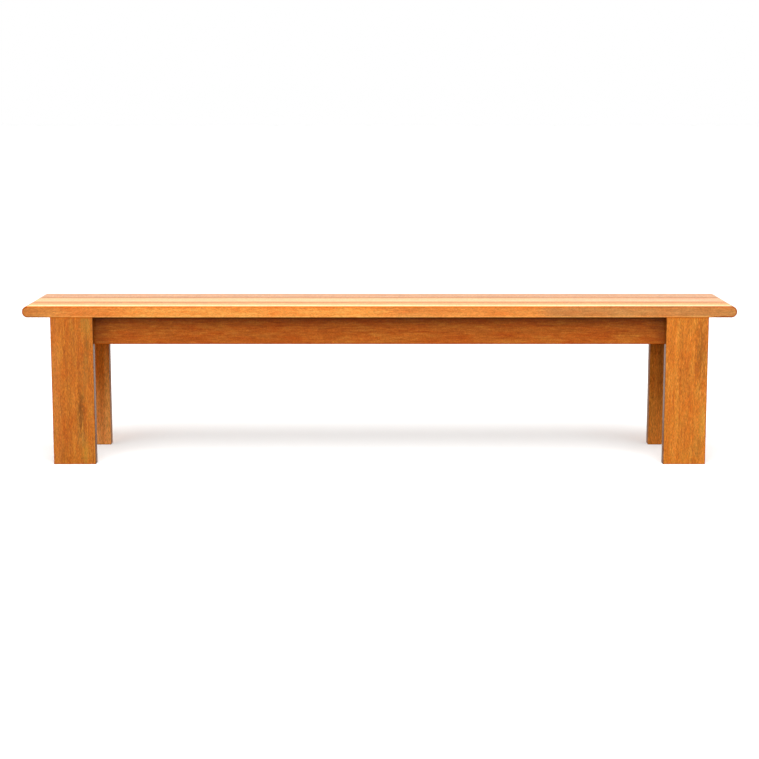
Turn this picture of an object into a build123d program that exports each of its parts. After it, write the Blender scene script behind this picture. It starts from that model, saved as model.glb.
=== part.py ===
from build123d import *
import os

# Long backless bench. A top of edge-joined boards lies on four plank legs and an apron.
# The long rails are housed and bolted into the backs of the legs, the end rails are
# tenoned into the legs, and two bearers are tenoned between the long rails.
# The origin is on the floor under the middle of the bench: X runs along its length,
# the front looks towards -Y, and Z is up. All lengths are in millimetres.

# Overall size
bench_length = 2032.0
bench_depth = 330.2
seat_height = 457.2

# Top boards, side by side from front to rear
top_thickness = 31.75
board_count = 3
top_overhang = 79.375  # how far each end runs past the legs
top_edge_round = 2.4

# Loose tongues in the joints between the boards
tongue_width = 25.4
tongue_thickness = 6.35
tongue_end_distance = 76.2  # from the end of the top to the tongue

# Legs
leg_width = 120.65
leg_thickness = 31.75
leg_edge_round = 2.4
foot_chamfer = 2.0
housing_depth = 6.35  # recess in the back of a leg that the long rail sits in

# Apron rails
rail_height = 80.0
rail_thickness = 22.225
rail_edge_round = 1.6
end_rail_inset = 19.05  # from the outer edge of a leg to the end rail

# Tenons of the end rails
tenon_thickness = 9.525
tenon_length = 19.05
tenon_shoulder = 12.7  # above and below the tenon

# Bearers between the long rails, and their stub tenons
bearer_height = 57.15
bearer_thickness = 22.225
bearer_place_shares = (-0.333, 0.333)  # of the way from the middle of the bench to a leg
stub_thickness = 9.525
stub_length = 9.525
stub_shoulder = 9.525

# Corner blocks, glued between the long rails and the end rails
block_reach = 44.45
block_nose = 12.7  # square end left at each side of the slanted face
block_height = 50.8
block_drop = 12.7  # from the underside of the top
block_corner_chamfer = 4.0  # room for glue in the corner of the rails

# Buttons that hold the top down and let it swell and shrink
button_width = 25.4
button_body = 31.75
button_tongue = 8.5
button_tongue_thickness = 9.525
button_drop = 9.525  # from the underside of the top to the slot in the rail
button_pull_gap = 0.5  # between the button and the top
button_rail_gap = 0.8
button_slot_room = 1.5  # behind the tongue and beside it
button_place_shares = (-0.78, -0.15, 0.15, 0.78)  # of the way to the legs

# Wood screws of the buttons
screw_radius = 2.1
screw_head_radius = 4.2
screw_head_height = 2.6
screw_hole_radius = 2.4
screw_bite = 12.7  # length in the top

# Bolts with wide flat heads, and threaded inserts, between the long rails and the legs
bolt_radius = 3.0
bolt_head_radius = 8.0
bolt_head_height = 2.4
bolt_engagement = 11.0  # length of the bolt in the insert
bolt_height_shares = (0.28, 0.72)  # of the rail's height
insert_radius = 5.0
insert_length = 12.7
fastener_sides = 12  # screws, bolts and inserts are prisms with this many sides

# Clearances
joint_gap = 0.1  # round a tenon or a tongue, on every side
joint_end_room = 1.0  # beyond the end of a tenon or a tongue
bore_gap = 0.05  # round an insert or a screw in its bore
bolt_gap = 0.3  # round a bolt in its rail
thread_gap = 0.05  # between a bolt and its insert
bore_end_room = 1.5
overrun = 5.0  # how far a cut runs past the face where it starts

# Places that follow from the sizes above
half_length = bench_length / 2
half_depth = bench_depth / 2
top_underside = seat_height - top_thickness
top_middle_z = seat_height - top_thickness / 2
board_width = bench_depth / board_count
leg_outer_x = half_length - top_overhang
leg_inner_x = leg_outer_x - leg_width
leg_back_y = half_depth - leg_thickness
rail_bottom = top_underside - rail_height
rail_outer_y = leg_back_y + housing_depth
rail_inner_y = rail_outer_y - rail_thickness
end_rail_outer_x = leg_outer_x - end_rail_inset
end_rail_inner_x = end_rail_outer_x - rail_thickness
end_rail_middle_x = (end_rail_outer_x + end_rail_inner_x) / 2
bearer_bottom = top_underside - bearer_height
bolt_x = (leg_inner_x + end_rail_inner_x - block_reach) / 2


def cuboid(x_ends, y_ends, z_ends):
    """Rectangular solid between pairs of places along X, Y and Z."""
    ends = (x_ends, y_ends, z_ends)
    middle = [(first + second) / 2 for first, second in ends]
    sizes = [abs(second - first) for first, second in ends]
    return Pos(*middle) * Box(*sizes)


def bore(mouth, radius, depth):
    """Round cutter that goes down depth from its mouth and runs out above it."""
    middle = (overrun - depth) / 2
    return mouth * Pos(0, 0, middle) * Cylinder(radius, depth + overrun)


def prism(radius, height):
    """Upright prism with the sides of a fastener, from its origin up to its height."""
    return extrude(RegularPolygon(radius, fastener_sides), amount=height)


def headed_fastener(head_radius, head_height, shank_radius, length):
    """Screw or bolt with its head seated at the origin and its shank down to -length."""
    return prism(head_radius, head_height) + prism(shank_radius, -length)


def leg_insert():
    """Threaded insert that hangs down from its origin, which is its mouth."""
    thread = RegularPolygon(bolt_radius + thread_gap, fastener_sides, major_radius=False)
    ring = RegularPolygon(insert_radius, fastener_sides) - thread
    return extrude(ring, amount=-insert_length)


def rail_profile(thickness, height):
    """Cross-section of a rail, its top edge at the origin and its lower arrises rounded."""
    section = Pos(0, -height / 2) * Rectangle(thickness, height)
    lower_corners = section.vertices().group_by(Axis.Y)[0]
    return fillet(lower_corners, rail_edge_round)


def joint_lines():
    """Places across the top where one board meets the next."""
    return [number * board_width - half_depth for number in range(1, board_count)]


def joint_tongue(y, gap, end_room):
    """Loose tongue of the joint at y, or the grooves for it with a gap above and below."""
    half_width = tongue_width / 2 + end_room
    half_thickness = tongue_thickness / 2 + gap
    reach = half_length - tongue_end_distance + end_room
    return cuboid(
        (-reach, reach),
        (y - half_width, y + half_width),
        (top_middle_z - half_thickness, top_middle_z + half_thickness),
    )


def button_frames():
    """Frames on the rails' inner faces, under the top, with X towards the room between them."""
    frames = []
    for side in (-1, 1):
        for share in button_place_shares:
            place = (share * leg_inner_x, side * rail_inner_y, top_underside)
            frames.append(Plane(origin=place, x_dir=(0, -side, 0), z_dir=(0, 0, 1)))
        place = (side * end_rail_inner_x, 0, top_underside)
        frames.append(Plane(origin=place, x_dir=(-side, 0, 0), z_dir=(0, 0, 1)))
    return frames


def button_screw_seat():
    """Where the screw's head sits under a button, in the button's frame, Z out of the head."""
    reach = button_rail_gap + button_body / 2
    return Pos(reach, 0, -button_drop - button_tongue_thickness) * Rot(180, 0, 0)


def top_button():
    """Stepped wooden button: its tongue sits in the rail and its body lies under the top."""
    bottom = -button_drop - button_tongue_thickness
    body_end = button_rail_gap + button_body
    side_view = Polyline(
        (-button_tongue, -button_drop),
        (button_rail_gap, -button_drop),
        (button_rail_gap, -button_pull_gap),
        (body_end, -button_pull_gap),
        (body_end, bottom),
        (-button_tongue, bottom),
        close=True,
    )
    button = extrude(Plane.XZ * make_face(side_view), button_width / 2, both=True)
    through = button_drop + button_tongue_thickness + overrun
    return button - bore(button_screw_seat(), screw_hole_radius, through)


def button_slot():
    """Cutter for the slot in a rail that takes a button's tongue."""
    half_width = button_width / 2 + button_slot_room
    return cuboid(
        (-button_tongue - button_slot_room, overrun),
        (-half_width, half_width),
        (-button_drop - button_tongue_thickness - joint_gap, -button_drop),
    )


def button_screw():
    """Screw that goes up through a button into the top."""
    length = button_drop + button_tongue_thickness + screw_bite
    screw = headed_fastener(screw_head_radius, screw_head_height, screw_radius, length)
    return button_screw_seat() * screw


def button_pilot():
    """Cutter for the blind hole in the top above a button."""
    depth = button_drop + button_tongue_thickness + screw_bite + bore_end_room
    return bore(button_screw_seat(), screw_radius + bore_gap, depth)


def top_board(number):
    """One board of the top, counted from the front, with half-round ends."""
    front_y = number * board_width - half_depth
    side_view = Pos(0, top_middle_z) * SlotOverall(bench_length, top_thickness)
    board = extrude(Plane.XZ.offset(-front_y) * side_view, amount=-board_width)
    by_depth = board.faces().sort_by(Axis.Y)
    if number == 0:
        board = fillet(by_depth[0].edges(), top_edge_round)
    if number == board_count - 1:
        board = fillet(by_depth[-1].edges(), top_edge_round)
    board -= [joint_tongue(y, joint_gap, joint_end_room) for y in joint_lines()]
    return board - [frame * button_pilot() for frame in button_frames()]


def bolt_seats():
    """Frames of the bolts of the front right leg, on the rail's inner face, Z to the room."""
    seats = []
    for share in bolt_height_shares:
        place = (bolt_x, -rail_inner_y, rail_bottom + share * rail_height)
        seats.append(Plane(origin=place, x_dir=(1, 0, 0), z_dir=(0, 1, 0)))
    return seats


def end_tenon(gap, end_room):
    """Front tenon of the right end rail, or its mortise with a gap all round."""
    half_thickness = tenon_thickness / 2 + gap
    return cuboid(
        (end_rail_middle_x - half_thickness, end_rail_middle_x + half_thickness),
        (-leg_back_y - tenon_length - end_room, -leg_back_y + end_room),
        (rail_bottom + tenon_shoulder - gap, top_underside - tenon_shoulder + gap),
    )


def front_right_leg():
    """Plank leg with rounded arrises, a housing, a mortise and bores for two inserts."""
    leg = cuboid((leg_inner_x, leg_outer_x), (-half_depth, -leg_back_y), (0, top_underside))
    leg = fillet(leg.edges().filter_by(Axis.Z), leg_edge_round)
    leg = chamfer(leg.faces().sort_by(Axis.Z)[0].edges(), foot_chamfer)
    housing = cuboid(
        (leg_inner_x - overrun, end_rail_inner_x),
        (-rail_outer_y, -leg_back_y + overrun),
        (rail_bottom, top_underside + overrun),
    )
    leg -= [housing, end_tenon(joint_gap, joint_end_room)]
    for seat in bolt_seats():
        mouth = seat * Pos(0, 0, -rail_thickness)
        leg -= bore(mouth, insert_radius + bore_gap, insert_length + bore_end_room)
    return leg


def bearer_stub(x, gap, end_room):
    """Front stub tenon of the bearer at x, or its mortise with a gap all round."""
    half_thickness = stub_thickness / 2 + gap
    return cuboid(
        (x - half_thickness, x + half_thickness),
        (-rail_inner_y - stub_length - end_room, -rail_inner_y + end_room),
        (bearer_bottom + stub_shoulder - gap, top_underside - stub_shoulder + gap),
    )


def front_rail():
    """Long front rail with bolt holes, button slots, and mortises for the bearers."""
    start = Plane(
        origin=(-end_rail_inner_x, rail_thickness / 2 - rail_outer_y, top_underside),
        x_dir=(0, 1, 0),
        z_dir=(1, 0, 0),
    )
    section = rail_profile(rail_thickness, rail_height)
    rail = extrude(start * section, amount=2 * end_rail_inner_x)
    for share in bearer_place_shares:
        rail -= bearer_stub(share * leg_inner_x, joint_gap, joint_end_room)
    for seat in bolt_seats():
        hole = bore(seat, bolt_radius + bolt_gap, rail_thickness + overrun)
        rail -= [hole, hole.mirror(Plane.YZ)]
    return rail - [frame * button_slot() for frame in button_frames()]


def right_rail():
    """Right end rail with a tenon at each end and a button slot."""
    start = Plane(
        origin=(end_rail_middle_x, -leg_back_y, top_underside),
        x_dir=(-1, 0, 0),
        z_dir=(0, 1, 0),
    )
    section = rail_profile(rail_thickness, rail_height)
    rail = extrude(start * section, amount=2 * leg_back_y)
    tenon = end_tenon(0, 0)
    rail += [tenon, tenon.mirror(Plane.XZ)]
    return rail - [frame * button_slot() for frame in button_frames()]


def bearer(x):
    """Cross bearer under the top, with a stub tenon at each end."""
    start = Plane(origin=(x, -rail_inner_y, top_underside), x_dir=(-1, 0, 0), z_dir=(0, 1, 0))
    section = rail_profile(bearer_thickness, bearer_height)
    bar = extrude(start * section, amount=2 * rail_inner_y)
    stub = bearer_stub(x, 0, 0)
    return bar + [stub, stub.mirror(Plane.XZ)]


def front_right_block():
    """Corner block with a slanted face towards the room between the rails."""
    outline = Polyline(
        (-block_corner_chamfer, 0),
        (-block_reach, 0),
        (-block_reach, block_nose),
        (-block_nose, block_reach),
        (0, block_reach),
        (0, block_corner_chamfer),
        close=True,
    )
    foot = Pos(end_rail_inner_x, -rail_inner_y, top_underside - block_drop - block_height)
    return extrude(foot * make_face(outline), amount=block_height)


def leg_bolt():
    """Bolt with a wide flat head that goes through a rail into an insert."""
    length = rail_thickness + bolt_engagement
    return headed_fastener(bolt_head_radius, bolt_head_height, bolt_radius, length)


def on_all_corners(shapes):
    """The shapes of the front right corner and their mirror images at the other corners."""
    right = shapes + [shape.mirror(Plane.XZ) for shape in shapes]
    return right + [shape.mirror(Plane.YZ) for shape in right]


def save(name, shape):
    """Write one sub-part, a solid or a list of like solids, under its name."""
    if isinstance(shape, list):
        shape = Compound(children=[piece.solid() for piece in shape])
    export_step(shape, "parts/" + name + ".step")


os.makedirs("parts", exist_ok=True)

for number, place in enumerate(("front", "middle", "rear")):
    save("top_board_" + place, top_board(number))

for place, joint_y in zip(("front", "rear"), joint_lines()):
    save("joint_tongue_" + place, joint_tongue(joint_y, 0, 0))

for name, piece in (("leg", front_right_leg()), ("corner_block", front_right_block())):
    save(name + "_front_right", piece)
    save(name + "_front_left", piece.mirror(Plane.YZ))
    save(name + "_rear_right", piece.mirror(Plane.XZ))
    save(name + "_rear_left", piece.mirror(Plane.XZ).mirror(Plane.YZ))

long_rail = front_rail()
save("rail_front", long_rail)
save("rail_rear", long_rail.mirror(Plane.XZ))

end_rail = right_rail()
save("rail_right", end_rail)
save("rail_left", end_rail.mirror(Plane.YZ))

for place, share in zip(("left", "right"), bearer_place_shares):
    save("bearer_" + place, bearer(share * leg_inner_x))

save("top_buttons", [frame * top_button() for frame in button_frames()])
save("button_screws", [frame * button_screw() for frame in button_frames()])
save("leg_bolts", on_all_corners([seat * leg_bolt() for seat in bolt_seats()]))

insert_mouth = Pos(0, 0, -rail_thickness)
inserts = [seat * insert_mouth * leg_insert() for seat in bolt_seats()]
save("leg_inserts", on_all_corners(inserts))
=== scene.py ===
import math

import bpy
import numpy as np
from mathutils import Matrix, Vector


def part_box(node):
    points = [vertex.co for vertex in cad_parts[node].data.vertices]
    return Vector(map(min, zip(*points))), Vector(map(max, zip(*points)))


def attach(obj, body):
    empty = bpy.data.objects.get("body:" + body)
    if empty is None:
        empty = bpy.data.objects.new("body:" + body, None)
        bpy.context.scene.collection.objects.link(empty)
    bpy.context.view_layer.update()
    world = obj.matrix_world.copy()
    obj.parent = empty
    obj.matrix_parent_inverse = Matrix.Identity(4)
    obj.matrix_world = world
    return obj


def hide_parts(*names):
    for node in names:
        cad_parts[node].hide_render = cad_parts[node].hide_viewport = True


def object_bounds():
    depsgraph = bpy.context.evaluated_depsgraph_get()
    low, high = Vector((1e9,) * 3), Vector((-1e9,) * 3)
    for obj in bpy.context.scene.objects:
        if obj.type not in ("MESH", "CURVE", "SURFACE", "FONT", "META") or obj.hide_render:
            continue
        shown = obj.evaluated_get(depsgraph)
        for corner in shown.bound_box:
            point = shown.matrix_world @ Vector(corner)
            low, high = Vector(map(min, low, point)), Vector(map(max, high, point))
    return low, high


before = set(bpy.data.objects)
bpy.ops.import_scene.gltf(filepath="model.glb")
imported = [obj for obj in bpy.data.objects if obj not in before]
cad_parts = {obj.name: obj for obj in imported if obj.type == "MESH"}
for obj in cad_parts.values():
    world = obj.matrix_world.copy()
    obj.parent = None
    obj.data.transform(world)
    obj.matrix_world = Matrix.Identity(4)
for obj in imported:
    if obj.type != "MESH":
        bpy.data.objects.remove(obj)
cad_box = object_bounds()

bl_info = {
    "name": "Long backless bench",
    "version": (1, 0, 0),
    "blender": (4, 5, 0),
    "location": "3D View > Sidebar > Bench",
    "description": "Dresses the frame of a long wooden bench with lacquered boards and fasteners",
    "category": "Object",
}

# The bench lies along X, its front looks towards -Y, and the floor is Z = 0. Lengths are metres.
MM = 0.001
BODY = "root"
X, Y, Z = 0, 1, 2

# Points closer than this become one, and edges sharper than this stay sharp
MERGE = 0.001 * MM
SHARP_ANGLE = math.radians(35)

# Room round the tongues between the seat boards, as in the frame
TONGUE_SIDE_ROOM, TONGUE_END_ROOM = 0.1 * MM, 1.0 * MM
# Corner radius of a tongue's groove as a share of half its width, and the strips of an eased edge
GROOVE_CORNER, EDGE_STRIPS = 0.2, 4

# A turned fastener: its points round one turn, and its rows over the crown and in one pitch
TURN = np.linspace(0, 2 * math.pi, 48, endpoint=False)
CROWN_ROWS, PITCH_ROWS = 7, 6
# The depth of its thread and the thinnest part of its tip as shares of its core, the height of
# its head's rim as a share of the head, and the recess's bottom and rim as shares of the recess
THREAD_SHARE, TIP_SHARE, RIM_SHARE, RECESS_BOTTOM, RECESS_RIM = 0.14, 0.15, 0.35, 0.9, 1.08

# Focal length and width of the photograph's frame in pixels
FOCAL_PIXELS, FRAME_PIXELS = 1794.5, 759


# Settings


def linear(code):
    """Linear red, green, blue and alpha of an sRGB colour written as six hex digits.

    The numbers are those of the sRGB curve.
    """
    values = np.array([int(code[place:place + 2], 16) for place in (0, 2, 4)]) / 255
    low, high = values / 12.92, ((values + 0.055) / 1.055) ** 2.4
    return (*(float(value) for value in np.where(values <= 0.04045, low, high)), 1.0)


def length_setting(name, description, default):
    """A length property in metres."""
    return bpy.props.FloatProperty(
        name=name, description=description, default=default, min=0.0, precision=5,
        subtype="DISTANCE", unit="LENGTH")


def colour_setting(name, description, code):
    """A colour property whose default is an sRGB hex colour."""
    return bpy.props.FloatVectorProperty(
        name=name, description=description, default=linear(code), size=4, min=0.0, max=1.0,
        subtype="COLOR")


class SeatSettings(bpy.types.PropertyGroup):
    """Sizes of the seat boards that a maker would change."""

    edge_round: length_setting(
        "Edge round", "Radius of the rounded outline of the front and rear faces", 1.0 * MM)
    joint_ease: length_setting(
        "Joint ease", "Radius of the eased arrises along the joints between boards", 0.5 * MM)
    stain_band: length_setting(
        "Stain band", "Width of the gathered stain along an edge", 1.6 * MM)
    joint_line: length_setting(
        "Joint line", "Width of the gathered stain beside a joint between boards", 0.5 * MM)
    arc_steps: bpy.props.IntProperty(
        name="Arc steps", description="Flat strips in each quarter turn of a rounded edge",
        default=12, min=2, max=32)


class LegSettings(bpy.types.PropertyGroup):
    """Sizes of the plank legs that a maker would change."""

    edge_round: length_setting("Edge round", "Radius of the four long edges", 1.0 * MM)
    foot_ease: length_setting("Foot ease", "Width of the small chamfer round the foot", 0.8 * MM)
    arc_steps: bpy.props.IntProperty(
        name="Arc steps", description="Flat strips in each rounded edge",
        default=6, min=2, max=32)


class FastenerSettings(bpy.types.PropertyGroup):
    """Sizes of the bolts, screws and inserts."""

    socket_across: length_setting("Socket", "Across the flats of a bolt's hexagon socket", 5.0 * MM)
    socket_depth: length_setting("Socket depth", "Depth of a bolt's hexagon socket", 1.8 * MM)
    bolt_pitch: length_setting("Bolt pitch", "From one thread of a bolt to the next", 1.0 * MM)
    recess_reach: length_setting("Recess reach", "Across a screw's cross recess", 4.4 * MM)
    recess_arm: length_setting("Recess arm", "Width of an arm of the cross recess", 1.0 * MM)
    recess_depth: length_setting("Recess depth", "Depth of a screw's cross recess", 1.5 * MM)
    screw_pitch: length_setting("Screw pitch", "From one thread of a screw to the next", 1.8 * MM)


class FinishSettings(bpy.types.PropertyGroup):
    """Colours and gloss of the lacquered wood and of the metal."""

    coat: bpy.props.FloatProperty(
        name="Lacquer", description="How much clear lacquer covers the wood", default=0.38,
        min=0.0, max=1.0, subtype="FACTOR")
    coat_roughness: bpy.props.FloatProperty(
        name="Lacquer roughness", description="Rubbed satin lacquer lies between 0.1 and 0.3",
        default=0.12, min=0.0, max=1.0, subtype="FACTOR")
    inner_wood: colour_setting(
        "Inner wood", "Unstained wood of blocks, buttons and tongues", "C99A62")
    steel: colour_setting("Plated steel", "Colour of the zinc plating", "D2D4D6")
    brass: colour_setting("Brass", "Colour of the threaded inserts", "C9A45C")


class StageSettings(bpy.types.PropertyGroup):
    """Floor, light and camera."""

    floor: colour_setting("Floor", "Colour of the pale studio floor", "FBFBFA")
    floor_bounce: colour_setting(
        "Floor bounce", "How the floor colours the light it returns", "827E7A")
    sky: bpy.props.FloatProperty(
        name="Sky", description="Strength of the even light from all round", default=1.11,
        min=0.0)
    softbox: bpy.props.FloatProperty(
        name="Softbox", description="Power of the lamp above the front", default=105.0, min=0.0,
        unit="POWER")
    distance: length_setting("Distance", "From the front of the bench to the camera", 5.064)
    height: length_setting("Height", "Height of the camera above the floor", 1.0449)
    tilt: bpy.props.FloatProperty(
        name="Tilt", description="How far the camera looks down", default=math.radians(8.953),
        subtype="ANGLE", unit="ROTATION")
    focal_share: bpy.props.FloatProperty(
        name="Focal share", description="Focal length as a share of the picture's width",
        default=FOCAL_PIXELS / FRAME_PIXELS, min=0.1)


# Surfaces


def rounded_loops(half_a, half_b, radius, steps):
    """Closed loops round rectangles with rounded corners, one loop in each row.

    A point is the centre of its corner's arc plus the radius times the cosine and sine of an
    angle that goes through one quarter turn per corner.
    """
    quarter = np.linspace(0, math.pi / 2, steps + 1)
    turns = np.arange(4)[:, None] * math.pi / 2
    angles = (turns + quarter).ravel()
    middles = np.repeat(turns + math.pi / 4, steps + 1)
    side_a, side_b = np.sign(np.cos(middles)), np.sign(np.sin(middles))
    half_a, half_b, radius = (
        np.asarray(value, float)[:, None] for value in (half_a, half_b, radius))
    loops_a = side_a * (half_a - radius) + radius * np.cos(angles)
    loops_b = side_b * (half_b - radius) + radius * np.sin(angles)
    return loops_a, loops_b


def carried_loops(places, half_a, half_b, radius, axis, centre, steps):
    """Points of rounded rectangles carried along an axis, one loop for each place on it."""
    loops_a, loops_b = rounded_loops(half_a, half_b, radius, steps)
    points = np.empty(loops_a.shape + (3,))
    points[..., axis] = np.asarray(places, float)[:, None]
    points[..., (axis + 1) % 3] = centre[(axis + 1) % 3] + loops_a
    points[..., (axis + 2) % 3] = centre[(axis + 2) % 3] + loops_b
    return points


def closed_mesh(name, bodies, stain=None):
    """Object whose surface joins each loop of points to the next and closes both ends.

    Bodies, rows, columns and X, Y, Z are the four sizes of the array. A face joins neighbours
    i, i + 1 and j, j + 1, with j running round, and each end is one flat face. Faces point
    outwards where j runs anticlockwise as seen from the last row. Points in the same place
    become one vertex, and faces that this leaves without an area are dropped.
    """
    bodies = np.asarray(bodies, float)
    count, rows, columns = bodies.shape[:3]
    start = np.arange(count)[:, None, None] * rows * columns
    first = np.arange(rows - 1)[:, None] * columns
    step = np.arange(columns)
    after = (step + 1) % columns
    quads = np.stack([
        first + step, first + after, first + columns + after, first + columns + step], -1)
    quads = (start[..., None] + quads).reshape(-1, 4)
    ends = start[:, :, 0] + np.stack([step[::-1], (rows - 1) * columns + step])[:, None]
    ends = ends.reshape(-1, columns)
    flat = bodies.reshape(-1, 3)
    _, kept, place = np.unique(
        np.round(flat / MERGE), axis=0, return_index=True, return_inverse=True)
    place = place.ravel()
    faces = [tuple(dict.fromkeys(face)) for face in place[quads].tolist() + place[ends].tolist()]
    faces = [face for face in faces if len(face) > 2]
    mesh = bpy.data.meshes.new(name)
    mesh.from_pydata(flat[kept].tolist(), [], faces)
    if stain is not None:
        layer = mesh.attributes.new("arris", "FLOAT", "POINT")
        layer.data.foreach_set("value", np.ravel(stain)[kept].astype(np.float32))
    mesh.validate()
    mesh.shade_smooth()
    mesh.set_sharp_from_angle(angle=SHARP_ANGLE)
    piece = bpy.data.objects.new(name, mesh)
    bpy.context.scene.collection.objects.link(piece)
    normals = piece.modifiers.new("even_normals", "WEIGHTED_NORMAL")
    normals.keep_sharp = True
    return piece


def hexagon(across):
    """Distance from the middle of a hexagon to its side, which is half its width over the
    cosine of the angle from the middle of that side."""
    sixth = math.pi / 3
    return across / 2 / np.cos((TURN + sixth / 2) % sixth - sixth / 2)


def cross(reach, arm):
    """Distance from the middle of a cross to its outline: the end of an arm where the angle
    is within the arm, and the side of an arm, half its width over the sine, elsewhere."""
    lying, standing = (
        np.minimum(reach / 2, arm / 2 / np.maximum(np.abs(slope), 1e-6))
        for slope in (np.sin(TURN), np.cos(TURN)))
    return np.maximum(lying, standing)


def turned_fastener(
        head_radius, head_height, core_radius, length, pitch, tip, recess, recess_depth):
    """Rows of radius and height, over a turn, for a fastener that hangs down from its head.

    The rows go up the recess from its bottom, over the head along a quarter of an ellipse,
    in under it and down the shank. The thread is a helix: the shank's radius falls and rises
    once for each turn of height over pitch plus angle over a full turn. It tapers to the tip.
    """
    crown = np.linspace(0, math.pi / 2, CROWN_ROWS)
    recess_edge = recess.max() * RECESS_RIM
    head_r = recess_edge + (head_radius - recess_edge) * np.sin(crown)
    head_z = head_height * (RIM_SHARE + (1 - RIM_SHARE) * np.cos(crown))
    shank_z = np.arange(0.0, -length, -pitch / PITCH_ROWS)
    turns = (shank_z[:, None] / pitch + TURN / (2 * math.pi)) % 1.0
    ridge = 1.0 - np.abs(2.0 * turns - 1.0)
    taper = np.clip((shank_z + length) / tip, TIP_SHARE, 1.0)[:, None]
    radius = np.vstack([
        recess * RECESS_BOTTOM, recess, head_r[:, None] + 0 * TURN, head_radius + 0 * TURN,
        core_radius * (1.0 - THREAD_SHARE * ridge) * taper])
    height = np.concatenate([
        [head_height - recess_depth, head_height], head_z, [0.0], shank_z])
    return radius, height[:, None] + 0 * TURN


def settle(piece, material, slot, *nodes):
    """Give a new piece its material, let it ride, and let it stand for its nodes."""
    piece.data.materials.clear()
    piece.data.materials.append(material)
    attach(piece, BODY)
    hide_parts(*nodes)


def dress(nodes, material):
    """Give frame nodes their material."""
    for node in nodes:
        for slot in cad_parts[node].material_slots:
            slot.material = material


# Materials


def add(tree, kind, inputs=(), stops=(), **settings):
    """Add one shader node with its settings, its inputs set or linked, and its ramp's stops.

    Inputs come in order or by name or number: those of a MapRange are the value, the range it
    is in and the range it is brought to. A node given as one is its first output in use.
    """
    node = tree.nodes.new("ShaderNode" + kind)
    for name, value in settings.items():
        setattr(node, name, value)
    for name, value in (inputs.items() if isinstance(inputs, dict) else enumerate(inputs)):
        if isinstance(value, bpy.types.Node):
            value = next(output for output in value.outputs if output.enabled)
        if isinstance(value, bpy.types.NodeSocket):
            tree.links.new(value, node.inputs[name])
        else:
            node.inputs[name].default_value = value
    if stops:
        elements = node.color_ramp.elements
        for end in (0, -1):
            elements[end].position, elements[end].color = stops[end]
        for place, colour in stops[1:-1]:
            elements.new(place).color = colour
    return node


def new_material(name):
    """A material whose nodes are still to come."""
    material = bpy.data.materials.new(name)
    material.use_nodes = True
    material.node_tree.nodes.clear()
    return material, material.node_tree


def stretched(grain, along, across):
    """Sizes in X, Y and Z of a pattern that is so long along the grain and wide across it."""
    return tuple(along if axis == grain else across for axis in (X, Y, Z))


def scaled(colour, share):
    """The same colour with its red, green and blue made darker or lighter."""
    return (*(min(1.0, share * part) for part in colour[:3]), 1.0)


# What one lacquered board looks like:
# - grain: the axis that it runs along, and seed: the place where its patterns are read
# - tones: its colours from the dark of its grain to the light, and end: that of its end grain
# - figure: length along the grain and width across it of its short dashes
# - fleck: sizes along X, Y and Z of the flecks where its rays are cut, and how far they change
#   its brightness. Real ones are about 1 mm high, so they are drawn coarser to show. The seat's
#   are longest across the grain, as in slightly curly wood.
# - pith: the middle of its growth rings, and ring: the distance between them
# - contrast: how strong its grain is, and tint: how far its colour drifts between red and gold
# - arris and arris_share: colour and strength of the stain gathered on its eased edges
# - gloss: its share of the lacquer, which is thinner on the boards that are set back
# - patches: soft areas of another colour. Most are tones of the wood itself; the others are
#   painted shade, painted light, a painted highlight and painted reflections, each marked where
#   it is listed. Each has its middle, its half sizes (ALL where it runs right through), its
#   colour, its strength, how soft its rim is and how far the figure breaks that rim.
ALL = 0.0
# Top and front of the seat, and the inner face of a leg, where a strip of painted shade lies on
# the front legs and a paler strip of painted reflection on the rear legs
TOP, FRONT, LEG_EDGE = 0.4572, -0.1651, 0.8155


def through(x, z, half_x, half_z, code, strength, rim=1.0, broken=0.6):
    """A patch that runs right through in Y, by its middle and half sizes in X and Z."""
    return (x, 0.0, z), (half_x, ALL, half_z), code, strength, rim, broken


SEAT = dict(
    grain=X, figure=(16 * MM, 3.2 * MM), fleck=(4.4 * MM, 9.0 * MM, 2.3 * MM, 0.15),
    tint=0.5, arris="B05400", arris_share=0.95, gloss=1.0)
FRONT_LEG = dict(
    grain=Z, figure=(12 * MM, 2.3 * MM), fleck=(2.3 * MM, 2.3 * MM, 7.5 * MM, 0.20),
    arris_share=0.85, gloss=1.0)
REAR_LEG = dict(
    grain=Z, figure=(12 * MM, 2.3 * MM), fleck=(2.3 * MM, 2.3 * MM, 10.0 * MM, 0.26),
    end="9A5526", contrast=1.0, tint=0.5, arris="A84A00", arris_share=0.7, gloss=0.4)
RAIL = dict(
    tones=("A65018", "BC601E", "CE7A2C"), end="8A4A1E",
    figure=(24 * MM, 4.2 * MM), fleck=(3.0 * MM, 3.0 * MM, 3.4 * MM, 0.16),
    contrast=0.7, tint=0.75, arris="B44C00", arris_share=0.85, gloss=0.5)
# Painted shade: a rail is darker high up, in the shade under the overhang of the seat
RAIL_PAINTED_SHADE = through(0.0, 0.430, ALL, 0.080, "6A3410", 0.34, 1.0, 0.15)
# Painted shade on the long rails: darker high up, a dark painted shadow line right under the seat,
# and darker ends beside the legs
LONG_RAIL_PAINTED_SHADE = (
    RAIL_PAINTED_SHADE,
    through(0.0, 0.4215, ALL, 0.0052, "824A16", 0.9, 0.7, 0.05),
    through(-0.812, 0.0, 0.085, ALL, "522808", 0.42, 1.0, 0.15),
    through(0.812, 0.0, 0.065, ALL, "522808", 0.32, 1.0, 0.15),
)
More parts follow.
